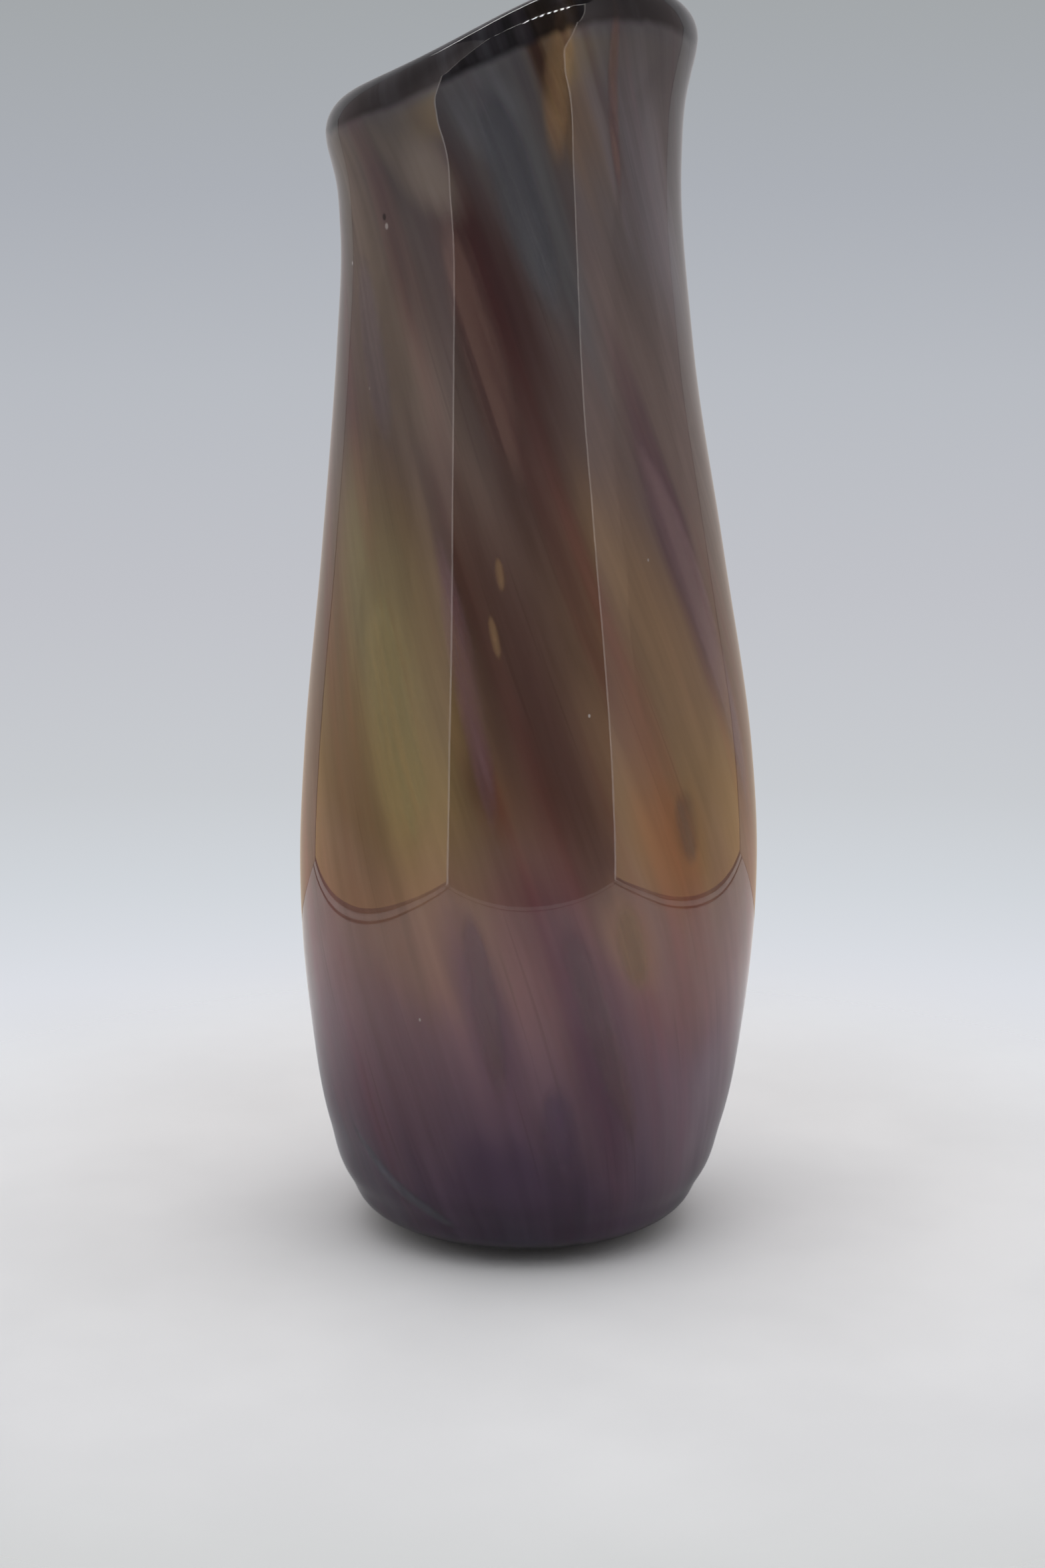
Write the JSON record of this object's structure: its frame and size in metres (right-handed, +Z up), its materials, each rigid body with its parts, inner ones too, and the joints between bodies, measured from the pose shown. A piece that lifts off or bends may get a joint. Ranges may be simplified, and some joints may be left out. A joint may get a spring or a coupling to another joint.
{
  "type": "art glass vase",
  "caption": "Tall hand blown art glass vase with a full belly, a narrow neck and a softly rolled, slanting lip, in smoky mottled glass with twisting coloured streaks.",
  "frame": {"origin": "on the table, under the centre of the belly", "axes": "+Z up, -Y the front, +X towards the high side of the lip"},
  "size_m": [0.1159, 0.1158, 0.3093],
  "materials": {
    "clear_glass": "clear glass, fire-polished gloss",
    "overlay_glass": "mottled taupe, olive and mauve glass powders under the clear casing, gloss",
    "gather_glass": "clear glass, gloss",
    "slate_glass": "slate blue grey glass with a feathered edge, under the clear casing",
    "amber_glass": "amber glass with a feathered edge, under the clear casing",
    "brown_glass": "dark russet brown glass with a feathered edge, under the clear casing",
    "purple_glass": "dusky purple glass with a feathered edge, under the clear casing",
    "plum_glass": "dark plum glass with a feathered edge, under the clear casing",
    "olive_glass": "olive yellow glass with a feathered edge, under the clear casing",
    "lilac_glass": "taupe lilac glass with a feathered edge, under the clear casing",
    "indigo_glass": "dark indigo glass with a feathered edge, under the clear casing",
    "blue_grey_glass": "pale blue grey glass with a feathered edge, under the clear casing"
  },
  "bodies": {
    "root": {"clear_casing": "clear_glass", "colour_overlay": "overlay_glass", "inner_gather": "gather_glass", "slate_neck_swath": "slate_glass", "amber_lip_streak": "amber_glass", "brown_neck_strand": "brown_glass", "russet_neck_swath": "brown_glass", "lilac_shoulder_swath": "lilac_glass", "purple_side_ribbon": "purple_glass", "plum_twist_strand": "plum_glass", "amber_shard_upper": "amber_glass", "amber_shard_lower": "amber_glass", "olive_belly_field": "olive_glass", "brown_belly_patch": "brown_glass", "plum_lower_left_streak": "plum_glass", "plum_lower_right_streak": "plum_glass", "amber_lower_patch": "amber_glass", "indigo_heel_patch": "indigo_glass", "blue_grey_heel_trail": "blue_grey_glass", "slate_back_swath": "slate_glass", "amber_back_lip_streak": "amber_glass", "plum_back_strand": "plum_glass", "purple_back_ribbon": "purple_glass", "olive_back_field": "olive_glass", "amber_back_patch": "amber_glass", "plum_back_lower_streak": "plum_glass"}
  },
  "joints": []
}
